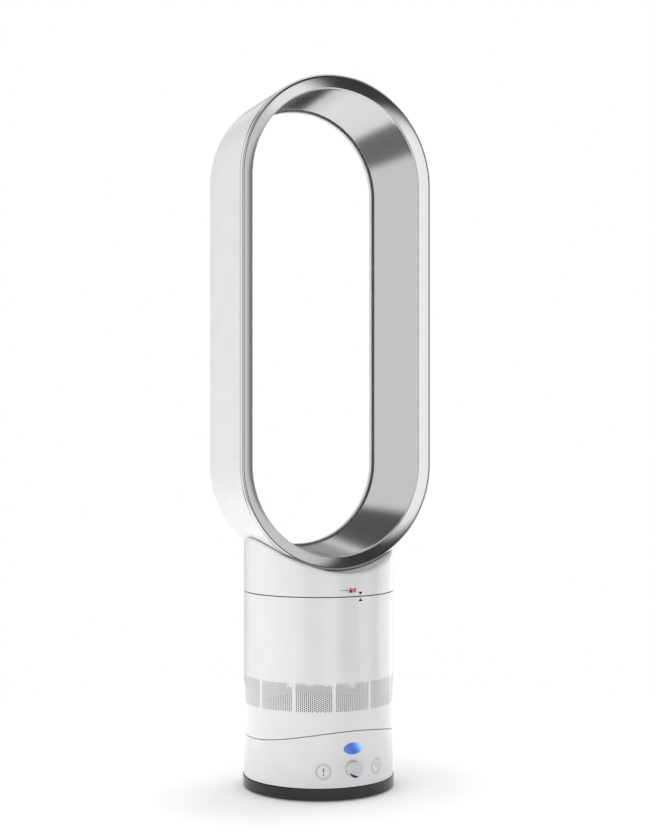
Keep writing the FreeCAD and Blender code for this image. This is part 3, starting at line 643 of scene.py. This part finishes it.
# %% Control slab
CONTROL_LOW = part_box("control_shell")[0].z
CONTROL_TOP = wavy_edge(BODY_RADIUS, TILT_RADIUS + SEAM_HALF)
STRETCH_FROM = 60 * MM
DIAL_HEIGHT = 40.5 * MM
POWER_PLACE = (math.radians(-22.9), 38.9 * MM)
SWING_PLACE = (math.radians(22.1), 39.6 * MM)
LENS_HEIGHT = 66.9 * MM
DIAL_HOLE = 10.7
BUTTON_HOLE = 10.4
LENS_HALF_WIDE = 13.65
LENS_HALF_TALL = 7.65
CUTTER_LONG = 20 * MM


def oval_cutter(place, half_wide, half_tall):
    """Bar with an oval section in millimetres, straight through the slab at a turn and a height."""
    bm = bmesh.new()
    bmesh.ops.create_cone(bm, cap_ends=True, segments=64, radius1=1.0, radius2=1.0, depth=CUTTER_LONG)
    turn, height = place
    stood_up(bm, (half_wide * MM, half_tall * MM), (turn * BODY_RADIUS, 0, height))
    return as_object(bm, "cutter")


def cut_out(target, cutters):
    """Cut every cutter from the target and leave plain geometry behind."""
    for cutter in cutters:
        hole = target.modifiers.new("hole", "BOOLEAN")
        hole.operation = "DIFFERENCE"
        hole.solver = "EXACT"
        hole.object = cutter
    shaped = target.evaluated_get(bpy.context.evaluated_depsgraph_get())
    bm = bmesh.new()
    bm.from_mesh(shaped.to_mesh())
    for helper in [target] + cutters:
        bpy.data.objects.remove(helper)
    return bm


# %% Cut the openings
SLAB_COLUMNS = 144
SLAB_ROWS = 24

slab = flat_sheet(math.tau * BODY_RADIUS, CONTROL_LOW, CONTROL_TOP, SLAB_COLUMNS, SLAB_ROWS)
bmesh.ops.solidify(slab, geom=slab.faces, thickness=WALL)
flat_wall = as_object(slab, "flat_wall")
openings = [oval_cutter((0.0, DIAL_HEIGHT), DIAL_HOLE, DIAL_HOLE),
            oval_cutter(POWER_PLACE, BUTTON_HOLE, BUTTON_HOLE),
            oval_cutter(SWING_PLACE, BUTTON_HOLE, BUTTON_HOLE),
            oval_cutter((0.0, LENS_HEIGHT), LENS_HALF_WIDE, LENS_HALF_TALL)]
wall = cut_out(flat_wall, openings)
print("flat wall with openings:", len(wall.faces), "faces")

# %% Bend the slab round
SLAB_END = math.pi * BODY_RADIUS - 0.1 * MM

ends = [face for face in wall.faces if abs(face.calc_center_median().x) > SLAB_END]
bmesh.ops.delete(wall, geom=ends, context="FACES")
wrap(wall)
for vert in wall.verts:
    if vert.co.z > STRETCH_FROM:
        share = (vert.co.z - STRETCH_FROM) / (CONTROL_TOP - STRETCH_FROM)
        edge_height = wavy_edge(vert.co.y, TILT_RADIUS + SEAM_HALF)
        vert.co.z = STRETCH_FROM + share * (edge_height - STRETCH_FROM)
bmesh.ops.remove_doubles(wall, verts=wall.verts, dist=WELD)
bmesh.ops.recalc_face_normals(wall, faces=wall.faces)
finish_mesh(wall, "control_casing", "control_base", WHITE_ABS, ["control_shell"],
            recalc=False)

# %% [markdown]
# ## Neck casing
#
# The neck is moulded in one with the loop.  Its top is scooped to hug the
# loop, and the edge of the scoop rolls over softly.  A bevel on a boolean edge
# would break where the edge sharpens at the sides, so a flat grid is bent
# instead: its columns go round the neck, and its rows climb the wall, roll over
# the edge and run down the scoop to the middle.

# %% Neck profile
NECK_COLUMNS = 144
ROLL = 3.5 * MM
ROLL_STEPS = 7
SCOOP_STEPS = 9
SCOOP_GAP = 0.5 * MM
SCOOP_FRONT = (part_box("front_rim")[0].y, RIM_HALF)
SCOOP_BACK = (57.0 * MM, 132.9 * MM)


def scoop_height(across, depth):
    """Height of the scoop, which follows the loop's narrowing underside."""
    share = (depth - SCOOP_FRONT[0]) / (SCOOP_BACK[0] - SCOOP_FRONT[0])
    share = min(max(share, 0.0), 1.0)
    reach = SCOOP_FRONT[1] + share * (SCOOP_BACK[1] - SCOOP_FRONT[1]) + SCOOP_GAP
    return LOOP_LOW - math.sqrt(reach ** 2 - across ** 2)


def neck_column(turn):
    """Points (distance inwards, height) up the wall, over the edge and down the scoop at one turn."""
    def scoop(inwards):
        reach = BODY_RADIUS - inwards
        return scoop_height(reach * math.sin(turn), -reach * math.cos(turn))

    edge = scoop(0.0)
    fall = math.atan2(edge - scoop(ROLL), ROLL)
    middle = edge - ROLL * (1 + math.sin(fall)) / math.cos(fall)
    points = [(0.0, NECK_LOW), (0.0, middle)]
    for step in range(1, ROLL_STEPS + 1):
        angle = math.pi - (math.pi / 2 + fall) * step / ROLL_STEPS
        points.append((ROLL + ROLL * math.cos(angle), middle + ROLL * math.sin(angle)))
    start = points[-1][0]
    for step in range(1, SCOOP_STEPS + 1):
        inwards = start + (BODY_RADIUS - start) * step / SCOOP_STEPS
        points.append((inwards, scoop(inwards)))
    return points


# %% Bend the neck's grid
neck = bmesh.new()
neck_rows = 1 + ROLL_STEPS + SCOOP_STEPS
bmesh.ops.create_grid(neck, x_segments=NECK_COLUMNS, y_segments=neck_rows, size=0.5)
for vert in neck.verts:
    turn = vert.co.x * math.tau
    inwards, height = neck_column(turn)[round((vert.co.y + 0.5) * neck_rows)]
    vert.co = Vector((turn * BODY_RADIUS, inwards, height))
wrap(neck)
thicken(neck, WALL)
finish_mesh(neck, "neck_casing", "amplifier", WHITE_ABS, ["neck_collar"], recalc=False)

# %% [markdown]
# ## Dial
#
# The dial is a raised round knob with a softly rounded shoulder and a very
# shallow dish for a fingertip.  A black crescent along its lower left edge is
# painted shade: it stands in for the shaded gap and dark side wall below the
# raised knob.  The knob is an outline spun about its axis, because a primitive
# cylinder has neither the shoulder nor the dish.  The crescent is a thin black
# sheet between two arcs.

# %% Dial knob
DIAL_FACE = -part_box("dial_knob")[0].y / MM


def spun_knob(points, steps=96):
    """Knob from (radius, reach) points in millimetres, both ends on its axis, facing forwards."""
    bm = bmesh.new()
    verts = [bm.verts.new((radius * MM, 0, reach * MM)) for radius, reach in points]
    edges = [bm.edges.new(pair) for pair in zip(verts, verts[1:])]
    bmesh.ops.spin(bm, geom=verts + edges, cent=(0, 0, 0), axis=(0, 0, 1), angle=math.tau,
                   steps=steps, use_merge=True)
    bmesh.ops.rotate(bm, verts=bm.verts, cent=(0, 0, 0), matrix=Matrix.Rotation(math.radians(90), 3, "X"))
    bmesh.ops.translate(bm, verts=bm.verts, vec=(0, 0, DIAL_HEIGHT))
    return bm


# %% Dial cap
knob_outline = [(0, 98), (10.0, 98), (10.3, 98.3)]
knob_outline += arc((9.5, DIAL_FACE - 0.8), (0.8, 0.8), 0, 90, 6)
knob_outline += [(7.5, DIAL_FACE - 0.12), (5.0, DIAL_FACE - 0.26), (2.5, DIAL_FACE - 0.34),
                 (0, DIAL_FACE - 0.37)]
finish_mesh(spun_knob(knob_outline), "dial_cap", "dial", SATIN_ABS,
            ["dial_knob", "dial_insert"])

# %% Crescent outline
def crescent(radius, thick, start, end, steps=20):
    """Outline between an arc and a second arc that pulls in by the thickness at its middle."""
    outer = arc((0, 0), (radius, radius), start, end, steps)
    inner = []
    for step in range(1, steps):
        share = step / steps
        angle = math.radians(start + (end - start) * share)
        reach = radius - thick * math.sin(math.pi * share) ** 0.7
        inner.append((reach * math.cos(angle), reach * math.sin(angle)))
    return outer + inner[::-1]


# %% Painted shade crescent on the dial
SHADE_CRESCENT_LIFT = 0.05
SHADE_CRESCENT_THICK = 0.6 * MM

# Painted shade: a black crescent on the knob's lower left edge stands in for the shaded gap and dark side
# wall below the raised knob.
shade_crescent = bmesh.new()
outline = [(across * MM, -(DIAL_FACE + SHADE_CRESCENT_LIFT) * MM, DIAL_HEIGHT + up * MM)
           for across, up in crescent(9.7, 3.0, 196, 294)]
bmesh.ops.edgeloop_fill(shade_crescent, edges=ring_edges(shade_crescent, outline)[1])
bmesh.ops.triangulate(shade_crescent, faces=shade_crescent.faces)
bmesh.ops.solidify(shade_crescent, geom=shade_crescent.faces, thickness=SHADE_CRESCENT_THICK)
finish_mesh(shade_crescent, "dial_painted_shade_crescent", "dial", BLACK_INK_AND_PAINTED_SHADE)

# %% [markdown]
# ## Printed marks
#
# The marks are pad-printed: a film of ink a few hundredths of a millimetre
# thick.  Each is drawn flat, as a closed outline or a band between two
# circles, bent to the casing and given 0.1 mm, so that it has real edges.
# They are plain signs: a bar and a dot, a turning arrow, alignment
# triangles, and a lock with an arrow.

# %% Mark makers
INK_THICK = 0.1 * MM
INK_OUT = 0.13 * MM


def filled(bm, outline, turn, height):
    """Add a flat filled outline from (across, up) points in millimetres about a place on the casing."""
    points = [(turn * BODY_RADIUS + across * MM, -INK_OUT, height + up * MM) for across, up in outline]
    bmesh.ops.edgeloop_fill(bm, edges=ring_edges(bm, points)[1])


def band(bm, radius, width, turn, height, start=0.0, end=360.0, steps=48):
    """Add a flat band of ink along an arc, as small four-sided cells."""
    inner = arc((0, 0), (radius - width / 2, radius - width / 2), start, end, steps)
    outer = arc((0, 0), (radius + width / 2, radius + width / 2), start, end, steps)
    for step in range(steps):
        cell = [inner[step], outer[step], outer[step + 1], inner[step + 1]]
        filled(bm, cell, turn, height)


def printed(bm, name, body, ink):
    """Bend the flat ink round the casing, thicken it and hand it over."""
    wrap(bm)
    thicken(bm, INK_THICK)
    finish_mesh(bm, name, body, ink, recalc=False)


# %% Button marks
mark = bmesh.new()
filled(mark, [(-0.65, -1.7), (0.65, -1.7), (0.95, 4.6), (-0.95, 4.6)], *POWER_PLACE)
filled(mark, arc((0, -4.3), (1.0, 1.0), 0, 337.5, 15), *POWER_PLACE)
printed(mark, "power_bar_and_dot", "power_button", GREY_INK)

mark = bmesh.new()
band(mark, 8.3, 0.9, *POWER_PLACE)
printed(mark, "power_ring", "power_button", PALE_INK)

mark = bmesh.new()
band(mark, 8.3, 0.7, *SWING_PLACE)
band(mark, 3.8, 0.8, *SWING_PLACE, start=-70, end=140, steps=28)
filled(mark, [(-4.9, 2.6), (-2.3, 0.9), (-1.5, 3.9)], *SWING_PLACE)
printed(mark, "swing_arrow", "swing_button", PALE_INK)

# %% Twist marks
TOWER_MARK = (math.radians(6.2), 257.0 * MM)
NECK_MARK = (math.radians(6.2), 265.4 * MM)
LOCK_PLACE = (math.radians(-0.3), 269.8 * MM)

mark = bmesh.new()
filled(mark, [(-3.3, -1.9), (3.3, -1.9), (0.0, 2.1)], *TOWER_MARK)
printed(mark, "tower_triangle", "tower", BLACK_INK_AND_PAINTED_SHADE)

mark = bmesh.new()
filled(mark, [(-3.3, 1.9), (0.0, -2.2), (3.3, 1.9)], *NECK_MARK)
printed(mark, "neck_triangle", "amplifier", BLACK_INK_AND_PAINTED_SHADE)

mark = bmesh.new()
filled(mark, [(-5.4, -3.2), (-0.5, -3.2), (-0.5, 1.0), (-5.4, 1.0)], *LOCK_PLACE)
turn, height = LOCK_PLACE
band(mark, 1.6, 0.9, turn - 2.95 * MM / BODY_RADIUS, height + 1.0 * MM, start=0, end=180, steps=16)
printed(mark, "lock_closed", "amplifier", RED_INK)

mark = bmesh.new()
filled(mark, [(0.4, -2.9), (4.3, -2.9), (4.3, 2.7), (0.4, 2.7)], *LOCK_PLACE)
printed(mark, "lock_bar", "amplifier", ROSE_INK)

mark = bmesh.new()
filled(mark, [(-16.5, -0.3), (-8.9, -0.3), (-8.9, 0.4), (-16.5, 0.4)], *LOCK_PLACE)
filled(mark, [(-8.9, -1.2), (-6.2, 0.05), (-8.9, 1.3)], *LOCK_PLACE)
printed(mark, "lock_arrow", "amplifier", GREY_INK)

# %% [markdown]
# ## Stage
#
# A white floor, soft cards round the fan and plain white behind it.  The
# camera is level, stands to the left of the fan's front at about half its
# height, and is shifted a little to place the fan in the picture.

# %% Camera
VIEW_TURN = math.radians(26.52)
CAMERA_DISTANCE = 2.038
CAMERA_HEIGHT = 0.4727

lens = bpy.data.cameras.new("camera")
lens.sensor_width = 36.0
lens.lens = 65.65
lens.shift_x, lens.shift_y = 0.0114, 0.0186
camera = bpy.data.objects.new("camera", lens)
camera.location = (-math.sin(VIEW_TURN) * CAMERA_DISTANCE, -math.cos(VIEW_TURN) * CAMERA_DISTANCE,
                   CAMERA_HEIGHT)
camera.rotation_euler = (math.radians(90), 0, -VIEW_TURN)
bpy.context.collection.objects.link(camera)
bpy.context.scene.camera = camera
print("camera turned", round(math.degrees(VIEW_TURN), 2), "degrees to the left of the front")

# %% [markdown]
# The floor is a round sheet of matt white paper with a painted glow: it emits
# light, more so further out, so that it matches the white background, and less
# near the fan, which paints shade round its base on top of the shadow that the
# fan casts.

# %% Floor
FLOOR_RADIUS = 0.86
FLOOR_GLOW = (0.2, 0.8)
GLOW_REACH = (0.12, 0.55)

floor_sheet = bmesh.new()
bmesh.ops.create_circle(floor_sheet, cap_ends=True, segments=128, radius=FLOOR_RADIUS)
floor = as_object(floor_sheet, "floor")

# %% Paper finish with painted glow
floor_paper_painted_glow, floor_tree, floor_shader = new_material("matt_white_paper_painted_glow", IOR=1.45, Roughness=0.9,
                                                      Base_Color=linear("F8F8F8"),
                                                      Emission_Color=linear("FFFFFF"))
# Painted light: the glow grows with distance from the fan, so the floor is darker round its base, a painted
# shade.
distance = add(floor_tree, "VectorMath", {"operation": "LENGTH"},
               links={"Vector": add(floor_tree, "TexCoord").outputs["Object"]})
glow = add(floor_tree, "MapRange", {"interpolation_type": "SMOOTHSTEP"},
           {"From Min": GLOW_REACH[0], "From Max": GLOW_REACH[1],
            "To Min": FLOOR_GLOW[0], "To Max": FLOOR_GLOW[1]},
           {"Value": distance.outputs["Value"]})
floor_tree.links.new(glow.outputs["Result"], floor_shader.inputs["Emission Strength"])
floor.data.materials.append(floor_paper_painted_glow)
print("floor sheet of radius", FLOOR_RADIUS, "m")

# %% [markdown]
# The light is a room of soft-edged cards and flags, because the silver loop
# shows whatever stands round it.  Area lights would need one object for each
# card, so the cards are drawn in the world instead.  They both light the fan
# and are mirrored in it; the camera itself sees plain white.
#
# Each card has the turn and height of its middle in degrees, its half sizes
# and its brightness.  Turns are counted towards +X, from straight ahead of the
# fan or from straight behind it.

# %% Light
FRONT_CARDS = [
    ("dim ceiling", 0.0, 90.0, 400.0, 55.0, 0.3),
    ("right wall", 106.0, 0.0, 34.0, 60.0, 1.65),
    ("left wall", -88.0, 0.0, 40.0, 60.0, 1.33),
    ("camera side", -30.0, 0.0, 20.0, 70.0, 0.24),
    ("bright strip", -8.0, 4.0, 16.0, 20.0, 1.45),
    ("side card", 48.0, -14.0, 9.0, 9.0, 1.37),
    ("dark gap", 69.0, 0.0, 8.0, 40.0, 0.25),
    ("black flag", 20.5, 2.0, 16.0, 60.0, 0.06),
]
BACK_CARDS = [
    ("rear curtain", 0.0, 4.0, 24.0, 18.0, 0.5),
    ("low card", 5.0, -36.0, 24.0, 14.0, 1.18),
    ("grey flag", -29.0, -25.0, 13.0, 13.0, 0.2),
    ("black bar", 30.0, -7.0, 11.0, 11.0, 0.03),
    ("grey card", 27.0, 15.0, 12.0, 8.0, 0.4),
    ("high flag", -2.0, 35.0, 24.0, 12.0, 0.12),
]
CARD_EDGE = 0.24
ROOM_LEVEL = 0.95


# %% Card nodes
def one_card(tree, turn, height, card, under):
    """Lay one soft oval card over the brightness beneath it."""
    name, turn_mid, high_mid, turn_half, high_half, level = card
    across = add(tree, "Math", {"operation": "SUBTRACT"}, {1: math.radians(turn_mid)}, {0: turn})
    across = add(tree, "Math", {"operation": "DIVIDE"}, {1: math.radians(turn_half)}, {0: across.outputs[0]})
    up = add(tree, "Math", {"operation": "SUBTRACT"}, {1: math.radians(high_mid)}, {0: height})
    up = add(tree, "Math", {"operation": "DIVIDE"}, {1: math.radians(high_half)}, {0: up.outputs[0]})
    spot = add(tree, "CombineXYZ", links={"X": across.outputs[0], "Y": up.outputs[0]})
    reach = add(tree, "VectorMath", {"operation": "LENGTH"}, links={"Vector": spot.outputs[0]})
    share = add(tree, "MapRange", {"interpolation_type": "SMOOTHSTEP"},
                {"From Min": 1 - CARD_EDGE, "From Max": 1 + CARD_EDGE, "To Min": 1.0, "To Max": 0.0},
                {"Value": reach.outputs["Value"]})
    laid = add(tree, "Mix", {"data_type": "FLOAT", "label": name}, {"B": level},
               {"Factor": share.outputs["Result"], "A": under})
    return laid.outputs["Result"]


def card_level(tree, where):
    """Brightness of the studio in each direction."""
    split = add(tree, "SeparateXYZ", links={"Vector": where})
    back_y = add(tree, "Math", {"operation": "MULTIPLY"}, {1: -1.0}, {0: split.outputs["Y"]})
    ahead = add(tree, "Math", {"operation": "ARCTAN2"}, links={0: split.outputs["X"], 1: back_y.outputs[0]})
    behind = add(tree, "Math", {"operation": "ARCTAN2"}, links={0: split.outputs["X"], 1: split.outputs["Y"]})
    height = add(tree, "Math", {"operation": "ARCSINE"}, links={0: split.outputs["Z"]})
    base = add(tree, "Value")
    base.outputs[0].default_value = ROOM_LEVEL
    level = base.outputs[0]
    for card in FRONT_CARDS:
        level = one_card(tree, ahead.outputs[0], height.outputs[0], card, level)
    for card in BACK_CARDS:
        level = one_card(tree, behind.outputs[0], height.outputs[0], card, level)
    return level


# %% Room
def room_light():
    """World light: the cards light and are mirrored, and the camera sees plain white behind the fan."""
    world = bpy.data.worlds.new("studio_room")
    bpy.context.scene.world = world
    world.use_nodes = True
    tree = world.node_tree
    tree.nodes.clear()
    where = add(tree, "TexCoord").outputs["Generated"]
    ray = add(tree, "LightPath")
    seen = add(tree, "Mix", {"data_type": "FLOAT"}, {"B": 1.0},
               {"Factor": ray.outputs["Is Camera Ray"], "A": card_level(tree, where)})
    back = add(tree, "Background", links={"Color": seen.outputs["Result"]})
    add(tree, "OutputWorld", links={"Surface": back.outputs[0]})


room_light()
print(len(FRONT_CARDS) + len(BACK_CARDS), "cards and flags in the room")

# %% [markdown]
# One large softbox hangs over the fan, a little behind it.  It lights the
# tops of the loop and the foot and gives the soft shadow under the fan.

# %% Overhead softbox
SOFTBOX_PLACE = Vector((0.0, 0.2, 3.2))
FAN_MIDDLE = Vector((0, 0, 0.45))

lamp = bpy.data.lights.new("overhead_softbox", "AREA")
lamp.shape = "RECTANGLE"
lamp.size, lamp.size_y = 3.0, 3.0
lamp.energy = 24
softbox = bpy.data.objects.new("overhead_softbox", lamp)
softbox.location = SOFTBOX_PLACE
softbox.rotation_euler = (FAN_MIDDLE - SOFTBOX_PLACE).to_track_quat("-Z", "Y").to_euler()
bpy.context.collection.objects.link(softbox)
bpy.context.scene.view_settings.view_transform = "Standard"
